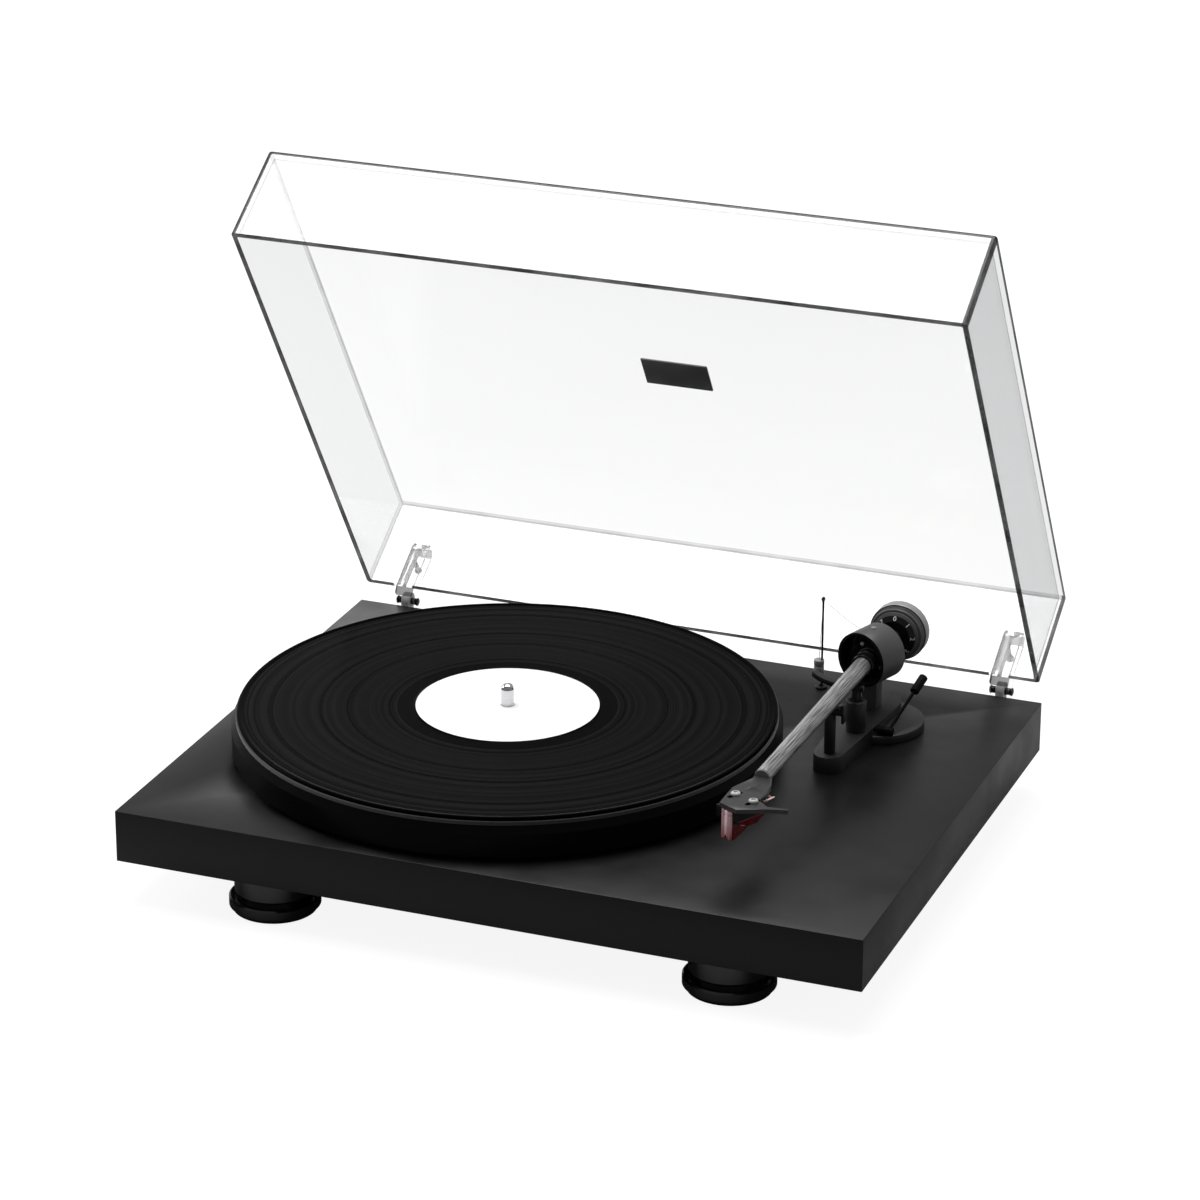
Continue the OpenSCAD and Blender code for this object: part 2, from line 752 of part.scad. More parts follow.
plinth();
bearing_housing();
thrust_ball();
motor_body();
motor_mount();
motor_plate();
control_board();
bottom_cover();
connector_panel();
phono_sockets();
ground_terminal();
power_inlet();
hinge_brackets();
bracket_screws();
foot_inserts();
switch_housing();
drive_belt();
arm_base_disc();
arm_base();
gimbal_ring();
gimbal_screws();
rest_post();
rest_clip();
lift_housing();
thread_wire();
thread();
spindle();
sub_platter();
platter();
damping_ring();
mat();
record();
record_label();
motor_shaft();
motor_pulley();
switch_rocker();
inner_gimbal();
pitch_screws();
arm_collar();
arm_tube();
headshell();
cartridge_body();
stylus_unit();
cantilever();
cartridge_screws();
tail_shaft();
counterweight();
scale_ring();
skating_weight();
cue_lever();
cue_knob();
cue_lift();
dust_cover();
cover_badge();
hinge_blocks();
hinge_pins();
foot_left();
foot_right();
foot_rear();
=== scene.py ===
"""Looks for the record player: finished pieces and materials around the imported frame."""

import json
import math

import bmesh
import bpy
from mathutils import Matrix, Vector

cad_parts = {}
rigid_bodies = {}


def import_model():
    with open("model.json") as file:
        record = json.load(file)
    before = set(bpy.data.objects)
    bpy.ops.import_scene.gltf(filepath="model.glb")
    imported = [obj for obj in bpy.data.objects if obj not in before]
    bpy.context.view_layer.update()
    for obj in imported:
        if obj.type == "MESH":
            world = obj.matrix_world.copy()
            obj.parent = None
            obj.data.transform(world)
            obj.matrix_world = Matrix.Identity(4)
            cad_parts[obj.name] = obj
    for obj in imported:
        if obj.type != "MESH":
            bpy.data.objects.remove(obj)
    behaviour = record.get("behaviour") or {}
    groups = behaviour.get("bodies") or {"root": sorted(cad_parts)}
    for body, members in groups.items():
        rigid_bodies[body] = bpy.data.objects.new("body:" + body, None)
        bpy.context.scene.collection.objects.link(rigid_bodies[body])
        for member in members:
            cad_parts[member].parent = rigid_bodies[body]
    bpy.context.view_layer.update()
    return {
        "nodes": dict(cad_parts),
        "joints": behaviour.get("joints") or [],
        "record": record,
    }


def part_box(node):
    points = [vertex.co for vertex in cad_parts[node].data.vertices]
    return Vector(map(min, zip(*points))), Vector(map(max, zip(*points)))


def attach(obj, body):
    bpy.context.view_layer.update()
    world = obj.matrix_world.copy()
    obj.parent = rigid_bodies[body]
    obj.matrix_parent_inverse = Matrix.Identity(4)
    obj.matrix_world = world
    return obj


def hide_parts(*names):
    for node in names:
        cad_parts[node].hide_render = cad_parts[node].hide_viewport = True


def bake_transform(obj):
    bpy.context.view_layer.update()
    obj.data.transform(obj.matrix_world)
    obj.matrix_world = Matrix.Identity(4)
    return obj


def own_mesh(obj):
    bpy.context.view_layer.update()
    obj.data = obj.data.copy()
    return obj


for stray in list(bpy.data.objects):
    bpy.data.objects.remove(stray, do_unlink=True)

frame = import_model()
nodes = frame["nodes"]
joints = {j["name"]: j for j in frame["joints"]}
body_of_node = {n: b for b, ns in frame["record"]["behaviour"]["bodies"].items() for n in ns}
slot_of_node = {s["node"]: s["material_slot"] for s in frame["record"]["subparts"]}
MM = 0.001

# ---- Places that the frame gives ----

plinth_low, plinth_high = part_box("plinth")
DECK = Matrix.Translation((0, (plinth_low.y + plinth_high.y) / 2, plinth_high.z))
spindle_low, spindle_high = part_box("spindle")
SPINDLE = Vector(((spindle_low.x + spindle_high.x) / 2, (spindle_low.y + spindle_high.y) / 2, 0))
PIVOT = Vector(joints["tonearm_swing"]["pos_m"])
ARM = Matrix.Translation(PIVOT) @ Matrix.Rotation(math.radians(-1.05), 4, "X")
HEAD_TURN = math.radians(-25.3)
HEAD = (ARM @ Matrix.Translation((1.2 * MM, -214.6 * MM, 0.6 * MM))
        @ Matrix.Rotation(HEAD_TURN, 4, "Z"))
HINGE = Vector(joints["cover_hinge"]["pos_m"])
COVER_ANGLE = math.radians(57.25)
COVER = (Matrix.Translation(HINGE) @ Matrix.Rotation(-COVER_ANGLE, 4, "X")
         @ Matrix.Translation(-HINGE) @ DECK)
FORWARD = Matrix.Rotation(math.radians(90), 4, "X")


# ---- Materials ----

class Graph:
    """Short calls for building one material's nodes."""

    def __init__(self, name):
        self.mat = bpy.data.materials.new(name)
        self.mat.use_nodes = True
        self.tree = self.mat.node_tree
        self.tree.nodes.clear()
        self.out = self.tree.nodes.new("ShaderNodeOutputMaterial")
        self.place = self.tree.nodes.new("ShaderNodeTexCoord").outputs["Object"]

    def node(self, kind, links=None, **settings):
        n = self.tree.nodes.new(kind)
        for k, v in settings.items():
            setattr(n, k, v)
        for k, v in (links or {}).items():
            if isinstance(v, bpy.types.NodeSocket):
                self.tree.links.new(v, n.inputs[k])
            else:
                n.inputs[k].default_value = v
        return n

    def math(self, op, a, b=0.0, c=0.0):
        return self.node("ShaderNodeMath", {0: a, 1: b, 2: c}, operation=op).outputs[0]

    def noise(self, scale, detail=3.0, vector=None, rough=0.5):
        return self.node("ShaderNodeTexNoise", {
            "Vector": vector or self.place, "Scale": scale, "Detail": detail, "Roughness": rough,
        }).outputs[0]

    def remap(self, value, a, b, c, d):
        return self.node("ShaderNodeMapRange", {
            "Value": value, "From Min": a, "From Max": b, "To Min": c, "To Max": d,
        }).outputs[0]

    def parts_from(self, centre):
        """X, Y and Z of the place, counted from a centre."""
        offset = self.node("ShaderNodeVectorMath", {0: self.place, 1: tuple(centre)}, operation="SUBTRACT")
        return self.node("ShaderNodeSeparateXYZ", {0: offset.outputs[0]}).outputs

    def hypot(self, a, b):
        return self.math("SQRT", self.math("ADD", self.math("POWER", a, 2), self.math("POWER", b, 2)))

    def stretch(self, scale):
        return self.node("ShaderNodeMapping", {"Vector": self.place, "Scale": scale}).outputs[0]

    def blend(self, factor, one, two):
        mix = self.node("ShaderNodeMix", data_type="RGBA")
        for i, v in ((0, factor), (6, one), (7, two)):
            if isinstance(v, bpy.types.NodeSocket):
                self.tree.links.new(v, mix.inputs[i])
            else:
                mix.inputs[i].default_value = v
        return mix.outputs[2]

    def bump(self, height, strength, distance, normal=None):
        links = {"Height": height, "Strength": strength, "Distance": distance}
        if normal:
            links["Normal"] = normal
        return self.node("ShaderNodeBump", links).outputs[0]

    def shader(self, **sockets):
        names = {k.replace("_", " "): v for k, v in sockets.items()}
        return self.node("ShaderNodeBsdfPrincipled", names).outputs[0]

    def finish(self, surface):
        self.tree.links.new(surface, self.out.inputs["Surface"])
        return self.mat


def grey(v, tint=(1, 1, 1)):
    return (v * tint[0], v * tint[1], v * tint[2], 1)


def coated(name, base, rough, vary=0.18, grain=900, bump=0.15, depth=0.00005, spread=0.06, **sockets):
    """Painted, moulded or lacquered surface: mottled colour and sheen over a fine grain."""
    g = Graph(name)
    broad = g.noise(35, 3)
    fine = g.noise(grain, 2)
    low, high = [tuple(c * k for c in base[:3]) + (1,) for k in (1 - vary, 1 + vary)]
    colour = g.blend(g.remap(broad, 0.3, 0.7, 0, 1), low, high)
    return g.finish(g.shader(
        Base_Color=colour, Roughness=g.remap(broad, 0.3, 0.7, rough - spread, rough + spread),
        Normal=g.bump(fine, bump, depth), **sockets))


def turned(name, base, rough, centre, lines=2500, metal=1.0, bump=0.12, axis="Z", **sockets):
    """Metal turned on a lathe: fine rings about an axis."""
    g = Graph(name)
    parts = g.parts_from(centre)
    one, two, length = {"Z": (0, 1, 2), "Y": (0, 2, 1), "X": (1, 2, 0)}[axis]
    radius = g.hypot(parts[one], parts[two])
    along = g.node("ShaderNodeCombineXYZ", {0: radius, 1: parts[length]}).outputs[0]
    rings = g.noise(lines, 2, along)
    low, high = [tuple(c * k for c in base[:3]) + (1,) for k in (0.88, 1.1)]
    return g.finish(g.shader(
        Base_Color=g.blend(g.remap(rings, 0.3, 0.7, 0, 1), low, high), Metallic=metal,
        Roughness=g.remap(g.noise(60, 3), 0.3, 0.7, rough - 0.05, rough + 0.05),
        Normal=g.bump(rings, bump, 0.00003), **sockets))


def brushed(name, base, rough, scale=(40, 2500, 2500), **sockets):
    """Metal brushed along one axis, the one with the small scale."""
    g = Graph(name)
    lines = g.noise(1, 3, g.stretch(scale))
    low, high = [tuple(c * k for c in base[:3]) + (1,) for k in (0.85, 1.12)]
    return g.finish(g.shader(
        Base_Color=g.blend(g.remap(lines, 0.3, 0.7, 0, 1), low, high), Metallic=1.0,
        Roughness=g.remap(lines, 0.3, 0.7, rough - 0.08, rough + 0.08),
        Normal=g.bump(lines, 0.2, 0.00003), **sockets))


def clear_sheet(name, through, edge, haze=0.0):
    """Thin clear plastic: lets light straight through, darkens slightly at a slant and mirrors by Fresnel."""
    g = Graph(name)
    slant = g.node("ShaderNodeLayerWeight", {"Blend": 0.5}).outputs["Facing"]
    scuffs = g.noise(14, 4)
    tint = g.blend(g.math("POWER", slant, 2.0), through, edge)
    clear = g.node("ShaderNodeBsdfTransparent", {"Color": tint}).outputs[0]
    gloss = g.node("ShaderNodeBsdfGlossy", {
        "Color": (0.9, 0.9, 0.9, 1), "Roughness": g.remap(scuffs, 0.35, 0.65, 0.02, 0.06)}).outputs[0]
    share = g.math("MULTIPLY_ADD", g.math("POWER", slant, 5.0), 0.4, 0.03 + haze)
    return g.finish(g.node("ShaderNodeMixShader", {0: share, 1: clear, 2: gloss}).outputs[0])


def vinyl(name, centre):
    """Pressed record: the grooves shade and mirror light in rings."""
    g = Graph(name)
    parts = g.parts_from(centre)
    radius = g.hypot(parts[0], parts[1])
    wide, thin = [g.node("ShaderNodeTexNoise", {"W": radius, "Scale": scale, "Detail": detail},
                         noise_dimensions="1D").outputs[0] for scale, detail in ((260, 3.0), (1800, 2.0))]
    inner, outer = 0.060, 0.1425
    grooved = g.math("MULTIPLY", g.math("GREATER_THAN", radius, inner), g.math("LESS_THAN", radius, outer))
    mixed = g.math("ADD", g.math("MULTIPLY", wide, 0.55), g.math("MULTIPLY", thin, 0.45))
    both = g.math("MULTIPLY", mixed, grooved)
    colour = g.blend(g.remap(both, 0.4, 0.6, 0, 1), grey(0.0002), grey(0.0075))
    rough = g.math("MULTIPLY_ADD", g.remap(wide, 0.3, 0.7, 0.02, 0.14), grooved, 0.24)
    tangent = g.node("ShaderNodeTangent", direction_type="RADIAL", axis="Z").outputs[0]
    return g.finish(g.shader(
        Base_Color=colour, Roughness=rough, Specular_IOR_Level=0.012, Anisotropic=0.6, Tangent=tangent,
        Normal=g.bump(both, 0.35, 0.00006)))


def carbon(name, arm):
    """Carbon fibre under clear lacquer: strands run along the arm tube, with faint wraps across it."""
    g = Graph(name)
    turn = arm.inverted()
    local = g.node("ShaderNodeMapping", {
        "Vector": g.place, "Location": turn.to_translation(), "Rotation": turn.to_euler()}).outputs[0]
    parts = g.node("ShaderNodeSeparateXYZ", {0: local}).outputs
    around = g.math("ARCTAN2", parts[0], parts[2])

    def threads(across, along, detail):
        place = g.node("ShaderNodeCombineXYZ", {
            0: g.math("MULTIPLY", around, across), 1: g.math("MULTIPLY", parts[1], along)})
        return g.noise(1, detail, place.outputs[0])

    strands = g.remap(threads(9, 45, 4), 0.35, 0.65, 0, 1)
    wraps = threads(0.6, 900, 2)
    return g.finish(g.shader(
        Base_Color=g.blend(strands, grey(0.06), grey(0.5)), Roughness=g.remap(strands, 0, 1, 0.36, 0.5),
        Metallic=0.75, Coat_Weight=0.6, Coat_Roughness=0.16, Normal=g.bump(wraps, 0.12, 0.00004)))


def felt(name, base):
    """Pressed wool: fuzz over broader tufts, with a soft sheen."""
    g = Graph(name)
    fuzz = g.noise(2600, 3)
    tufts = g.noise(300, 4)
    colour = g.blend(g.math("MULTIPLY", fuzz, tufts), tuple(c * 0.5 for c in base[:3]) + (1,), base)
    return g.finish(g.shader(
        Base_Color=colour, Roughness=g.remap(fuzz, 0.3, 0.7, 0.88, 1.0), Sheen_Weight=0.4,
        Sheen_Roughness=0.6, Specular_IOR_Level=0.2, Normal=g.bump(fuzz, 0.6, 0.0002)))


def paper(name):
    """Plain white label paper with faint fibres."""
    g = Graph(name)
    fibre = g.noise(700, 5)
    colour = g.blend(g.remap(fibre, 0.3, 0.7, 0, 1), (0.84, 0.84, 0.84, 1), (0.89, 0.89, 0.89, 1))
    return g.finish(g.shader(
        Base_Color=colour, Roughness=g.remap(fibre, 0.3, 0.7, 0.5, 0.62), Specular_IOR_Level=0.25,
        Normal=g.bump(fibre, 0.15, 0.00003)))


def translucent(name, colour, deep, rough=0.12, passes=0.45):
    """Tinted translucent moulding, darker in streaky clouds."""
    g = Graph(name)
    cloud = g.noise(260, 3)
    flow = g.noise(1, 3, g.stretch((500, 500, 120)))
    return g.finish(g.shader(
        Base_Color=g.blend(g.remap(g.math("MULTIPLY", cloud, flow), 0.1, 0.45, 0, 1), deep, colour),
        Roughness=g.remap(cloud, 0.3, 0.7, rough - 0.04, rough + 0.06), Transmission_Weight=passes, IOR=1.45,
        Coat_Weight=0.3, Coat_Roughness=0.08, Normal=g.bump(flow, 0.08, 0.00005)))


def board(name):
    """Circuit board: green lacquer with copper tracks."""
    g = Graph(name)
    tracks = g.node("ShaderNodeTexBrick", {
        "Vector": g.stretch((220, 180, 1)), "Scale": 1.0, "Mortar Size": 0.05,
        "Color1": (0.008, 0.09, 0.04, 1), "Color2": (0.012, 0.12, 0.055, 1), "Mortar": (0.35, 0.26, 0.08, 1)})
    return g.finish(g.shader(
        Base_Color=tracks.outputs[0], Roughness=g.remap(g.noise(300), 0.3, 0.7, 0.3, 0.5),
        Normal=g.bump(tracks.outputs[1], 0.1, 0.00005)))


M = {
    "plinth_lacquer": coated(
        "plinth_lacquer", grey(0.0045), 0.36, grain=1600, bump=0.22, depth=0.00003, Specular_IOR_Level=0.25),
    "bearing_brass": turned("bearing_brass", (0.78, 0.57, 0.28), 0.3, SPINDLE),
    "ball_steel": turned("ball_steel", (0.75, 0.75, 0.77), 0.12, SPINDLE, bump=0.02),
    "motor_can": brushed("motor_can", (0.5, 0.5, 0.52), 0.35),
    "damper_rubber": coated("damper_rubber", grey(0.012), 0.8, grain=2200, bump=0.5, Specular_IOR_Level=0.3),
    "painted_plate": coated("painted_plate", grey(0.02), 0.5, grain=2400, bump=0.5, depth=0.0001),
    "circuit_board": board("circuit_board"),
    "black_plastic": coated(
        "black_plastic", grey(0.006), 0.42, grain=2600, bump=0.35, Specular_IOR_Level=0.35),
    "panel_metal": coated("panel_metal", grey(0.016), 0.32, grain=1800, bump=0.2, Specular_IOR_Level=0.5),
    "socket_gold": turned("socket_gold", (0.83, 0.62, 0.26), 0.2, (0, 0, 0), axis="Y"),
    "bracket_steel": coated("bracket_steel", grey(0.55), 0.45, vary=0.08, grain=1800),
    "screw_black": coated("screw_black", grey(0.012), 0.28, Metallic=0.6),
    "screw_bright": brushed("screw_bright", (0.5, 0.5, 0.51), 0.34, (900, 900, 900)),
    "belt_rubber": coated("belt_rubber", grey(0.01), 0.7, grain=3000, bump=0.3),
    "base_paint": coated("base_paint", grey(0.016), 0.42, grain=2400, bump=0.3, Specular_IOR_Level=0.4),
    "gimbal_paint": coated(
        "gimbal_paint", grey(0.07), 0.45, vary=0.1, grain=2600, bump=0.35, Specular_IOR_Level=0.6,
        Metallic=0.2),
    "thread_nylon": coated("thread_nylon", grey(0.35), 0.4, grain=6000, bump=0.3),
    "wire_steel": brushed("wire_steel", (0.02, 0.02, 0.021), 0.3, (2000, 2000, 60)),
    "spindle_chrome": turned("spindle_chrome", (0.62, 0.62, 0.63), 0.12, SPINDLE, bump=0.03),
    "sub_platter_plastic": coated("sub_platter_plastic", grey(0.02), 0.5, grain=1500, bump=0.3),
    "platter_black": turned(
        "platter_black", (0.003, 0.003, 0.0031), 0.3, SPINDLE, metal=0.0, bump=0.08, Specular_IOR_Level=0.03),
    "felt": felt("felt", grey(0.02)),
    "vinyl": vinyl("vinyl", SPINDLE),
    "label_paper": paper("label_paper"),
    "pulley_alu": turned("pulley_alu", (0.66, 0.67, 0.69), 0.25, (-0.1415, -0.0962, 0)),
    "arm_carbon": carbon("arm_carbon", ARM),
    "head_plate": coated("head_plate", grey(0.022), 0.42, grain=2400, bump=0.25, Specular_IOR_Level=0.4),
    "cartridge_black": coated(
        "cartridge_black", grey(0.003), 0.35, grain=2600, bump=0.25, Specular_IOR_Level=0.12),
    "stylus_red": translucent("stylus_red", (0.30, 0.012, 0.02, 1), (0.10, 0.004, 0.008, 1)),
    "cantilever_alu": brushed("cantilever_alu", (0.7, 0.7, 0.72), 0.25, (2000, 100, 2000)),
    "weight_steel": turned(
        "weight_steel", (0.34, 0.34, 0.343), 0.42, PIVOT, metal=0.3, axis="Y", bump=0.1,
        Specular_IOR_Level=0.6),
    "dial_plastic": coated("dial_plastic", grey(0.004), 0.32, grain=2600, bump=0.2, Specular_IOR_Level=0.3),
    "knob_rubber": coated("knob_rubber", grey(0.004), 0.5, grain=3000, bump=0.4, Specular_IOR_Level=0.05),
    "cover_acrylic": clear_sheet("cover_acrylic", (0.96, 0.96, 0.96, 1), (0.82, 0.825, 0.83, 1)),
    "block_clear": clear_sheet("block_clear", (0.985, 0.985, 0.985, 1), (0.93, 0.935, 0.94, 1)),
    "foot_black": turned(
        "foot_black", (0.005, 0.005, 0.0053), 0.2, (0, 0, 0), metal=0.0, bump=0.05, Coat_Weight=0.25,
        Coat_Roughness=0.12),
}


# ---- Mesh helpers ----

def add(name, mesh, materials, body, angle=35):
    """Makes a piece from a mesh: smooth but for its sharp edges, on its body."""
    mesh.polygons.foreach_set("use_smooth", [True] * len(mesh.polygons))
    mesh.set_sharp_from_angle(angle=math.radians(angle))
    obj = bpy.data.objects.new(name, mesh)
    bpy.context.scene.collection.objects.link(obj)
    for m in materials:
        obj.data.materials.append(m)
    if body:
        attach(obj, body)
    return obj


def to_mesh(bm, name):
    """Closes a bmesh into a mesh whose faces all look outwards."""
    mesh = bpy.data.meshes.new(name)
    bmesh.ops.recalc_face_normals(bm, faces=bm.faces)
    bm.to_mesh(mesh)
    bm.free()
    return mesh


def refine(node, width, segments=2, angle=40):
    """A CAD node with its sharp edges rounded over, as a piece that replaces it."""
    bm = bmesh.new()
    bm.from_mesh(nodes[node].data)
    bmesh.ops.remove_doubles(bm, verts=bm.verts, dist=1e-6)
    bmesh.ops.dissolve_limit(bm, angle_limit=math.radians(1.0), verts=bm.verts, edges=bm.edges)
    sharp = [e for e in bm.edges if len(e.link_faces) == 2 and e.calc_face_angle(0) > math.radians(angle)]
    bmesh.ops.bevel(
        bm, geom=sharp, offset=width * MM, segments=segments, profile=0.5, affect="EDGES", clamp_overlap=True)
    slot = slot_of_node[node]
    obj = add(node + "_finished", to_mesh(bm, node + "_finished"), [M[slot]], body_of_node[node])
    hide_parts(node)
    return obj


def loft(bm, loops, cap_first=False, cap_last=False, closed=True):
    """Quads between successive loops of points; returns the rows of vertices."""
    rows = [[bm.verts.new(p) for p in loop] for loop in loops]
    for a, b in zip(rows, rows[1:]):
        n = len(a)
        for i in range(n if closed else n - 1):
            j = (i + 1) % n
            bm.faces.new((a[i], a[j], b[j], b[i]))
    if cap_first:
        bm.faces.new(rows[0][::-1])
    if cap_last:
        bm.faces.new(rows[-1])
    return rows


def circle(r, z, n, matrix=Matrix.Identity(4)):
    """A circle of radius r at height z, in millimetres, placed by a matrix."""
    turns = [2 * math.pi * i / n for i in range(n)]
    return [matrix @ Vector((r * MM * math.cos(a), r * MM * math.sin(a), z * MM)) for a in turns]


def lathe(name, profile, n, places, materials, body, cap=(False, False), angle=35):
    """Turned shapes of one profile, one at each of the given matrices."""
    bm = bmesh.new()
    for place in places:
        loft(bm, [circle(r, z, n, place) for r, z in profile], *cap)
    return add(name, to_mesh(bm, name), materials, body, angle)


def tube(name, points, radius, material, body, sides=8, matrix=Matrix.Identity(4)):
    """A round strand along points in millimetres."""
    pts = [matrix @ (Vector(p) * MM) for p in points]
    bm = bmesh.new()
    loops = []
    side = None
    for i, p in enumerate(pts):
        t = (pts[min(i + 1, len(pts) - 1)] - pts[max(i - 1, 0)]).normalized()
        side = (t.orthogonal() if side is None else side - t * side.dot(t)).normalized()
        other = t.cross(side)
        loops.append([p + (side * math.cos(a) + other * math.sin(a)) * radius * MM
                      for a in (2 * math.pi * k / sides for k in range(sides))])
    loft(bm, loops, True, True)
    return add(name, to_mesh(bm, name), [material], body, 60)


def repaint(obj, material, test):
    """Gives the faces whose centre passes a test another material."""
    obj.data.materials.append(material)
    for f in obj.data.polygons:
        if test(f.center):
            f.material_index = len(obj.data.materials) - 1


def carve(obj, cutter):
    """Cuts one mesh out of a piece."""
    tool = bpy.data.objects.new("cutter", cutter)
    bpy.context.scene.collection.objects.link(tool)
    cut = obj.modifiers.new("cut", "BOOLEAN")
    cut.operation, cut.solver, cut.object = "DIFFERENCE", "EXACT", tool
    carved = bpy.data.meshes.new_from_object(obj.evaluated_get(bpy.context.evaluated_depsgraph_get()))
    obj.modifiers.clear()
    obj.data = carved
    bpy.data.objects.remove(tool)


def split_across(obj, frame_of, height):
    """Adds an edge loop round a piece at a height in a frame, in millimetres."""
    bm = bmesh.new()
    bm.from_mesh(obj.data)
    bmesh.ops.bisect_plane(
        bm, geom=bm.verts[:] + bm.edges[:] + bm.faces[:], plane_co=frame_of @ Vector((0, 0, height * MM)),
        plane_no=frame_of.to_3x3() @ Vector((0, 0, 1)))
    bm.to_mesh(obj.data)
    bm.free()


def smooth_path(points, steps=6):
    """Catmull-Rom points through the given ones."""
    p = [Vector(v) for v in points]
    p = [p[0] * 2 - p[1]] + p + [p[-1] * 2 - p[-2]]
    out = []
    for i in range(1, len(p) - 2):
        for k in range(steps):
            t = k / steps
            out.append(0.5 * (2 * p[i] + (p[i + 1] - p[i - 1]) * t
                              + (2 * p[i - 1] - 5 * p[i] + 4 * p[i + 1] - p[i + 2]) * t ** 2
                              + (3 * p[i] - p[i - 1] - 3 * p[i + 1] + p[i + 2]) * t ** 3))
    return out + [p[-2]]


# ---- Carried-over CAD nodes ----

for name, obj in nodes.items():
    obj.data.materials.clear()
    obj.data.materials.append(M[slot_of_node[name]])

finished = {}
for name, width in (
    ("plinth", 0.7), ("counterweight", 0.3), ("arm_base", 0.45), ("arm_base_disc", 0.45),
    ("gimbal_ring", 0.4), ("headshell", 0.25), ("cartridge_body", 0.3), ("cover_badge", 0.45),
    ("hinge_brackets", 0.3),
    ("rest_clip", 0.35), ("rest_post", 0.3), ("lift_housing", 0.4), ("cue_lift", 0.4), ("cue_knob", 0.5),
    ("switch_rocker", 0.4), ("switch_housing", 0.3), ("connector_panel", 0.2), ("bottom_cover", 0.3),
    ("inner_gimbal", 0.25), ("arm_collar", 0.3), ("skating_weight", 0.25),
):
    finished[name] = refine(name, width)

# Painted shade: near-black for the bore of the gimbal ring, the inner gimbal, its web, the collar flange and
# the counterweight's groove.
painted_shade_black = coated("painted_shade_black", grey(0.002), 0.5, grain=2600, Specular_IOR_Level=0.15)
shaded_rim = coated("shaded_rim", grey(0.08), 0.45, grain=2600, Specular_IOR_Level=0.4)
RING = Matrix.Translation(PIVOT) @ Matrix.Rotation(math.radians(-19), 4, "Z")
RING_LONGER = 2.6
TAIL = ARM @ Matrix.Translation((0, 0, -3.8 * MM))
WEIGHT_RIM, WEIGHT_FACE = 44.2, 45.7


def off_axis(frame_of, point):
    """Distance along a frame's Y axis and distance from it, in millimetres."""
    local = (frame_of.inverted() @ point) / MM
    return local.y, math.hypot(local.x, local.z)


def ring_inside(point):
    """The bore of the gimbal ring, and the inner part of its front edge: the faces that get painted shade."""
    along, away = off_axis(RING, point)
    return away < 13.8 or (along < -10.9 and away < 15.2)


def weight_groove(point):
    """The groove behind the counterweight's front rim, which gets painted shade."""
    along, away = off_axis(TAIL, point)
    return WEIGHT_RIM < along < WEIGHT_FACE and away > 12.5


for vertex in finished["gimbal_ring"].data.vertices:
    if (RING.inverted() @ vertex.co).y < -7.5 * MM:
        vertex.co -= RING.to_3x3() @ Vector((0, RING_LONGER * MM, 0))
# Painted shade: the ring's bore and the whole inner gimbal are given near-black.
repaint(finished["gimbal_ring"], painted_shade_black, ring_inside)
repaint(finished["inner_gimbal"], painted_shade_black, lambda point: True)
repaint(finished["counterweight"], shaded_rim, lambda point: off_axis(TAIL, point)[0] < WEIGHT_RIM)
# Painted shade: the counterweight's groove is given near-black.
repaint(finished["counterweight"], painted_shade_black, weight_groove)
# The web and the collar flange get the same near-black painted shade.
lathe("gimbal_web", [(7.4, -3.4), (12.9, -3.4), (12.9, -2.6), (7.4, -2.6), (7.4, -3.4)], 48,
      [Matrix.Translation(PIVOT) @ FORWARD], [painted_shade_black], "arm_yoke")
lathe("collar_flange", [(5.6, 6.0), (10.2, 6.0), (10.2, 6.5), (9.9, 6.8), (5.6, 6.8), (5.6, 6.0)], 48,
      [ARM @ FORWARD], [painted_shade_black], "tonearm")
sleeve = [(5.45, 8.8), (6.3, 8.8), (6.3, 12.4), (5.9, 12.8), (5.9, 13.6), (6.3, 14.0), (6.3, 18.6),
          (5.9, 19.0), (5.3, 19.0)]
lathe("collar_sleeve", sleeve, 48, [ARM @ FORWARD], [M["screw_black"]], "tonearm")
lathe("collar_screws", [(1.1, 6.7), (1.1, 7.2), (0.9, 7.5), (0.5, 7.5), (0.4, 7.2)], 20,
      [ARM @ Matrix.Translation((x * MM, 0, z * MM)) @ FORWARD for x, z in ((-4.1, 8.1), (6.9, -4.6))],
      [M["bracket_steel"]], "tonearm", (True, True))
nodes["pitch_screws"].data.materials[0] = M["screw_black"]
nodes["cue_lever"].data.materials[0] = coated(
    "lever_black", grey(0.003), 0.45, grain=2600, Specular_IOR_Level=0.03)
badge_face = coated("badge_face", grey(0.11), 0.35, grain=1800, Specular_IOR_Level=0.4)
repaint(finished["cover_badge"], badge_face, lambda point: True)
# Painted highlight: the top of the cue knob is given a lighter grey.
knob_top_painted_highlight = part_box("cue_knob")[1].z - 2.2 * MM
repaint(finished["cue_knob"], coated("knob_top_painted_highlight", grey(0.11), 0.4, grain=3000),
        lambda point: point.z > knob_top_painted_highlight)


# ---- Record ----

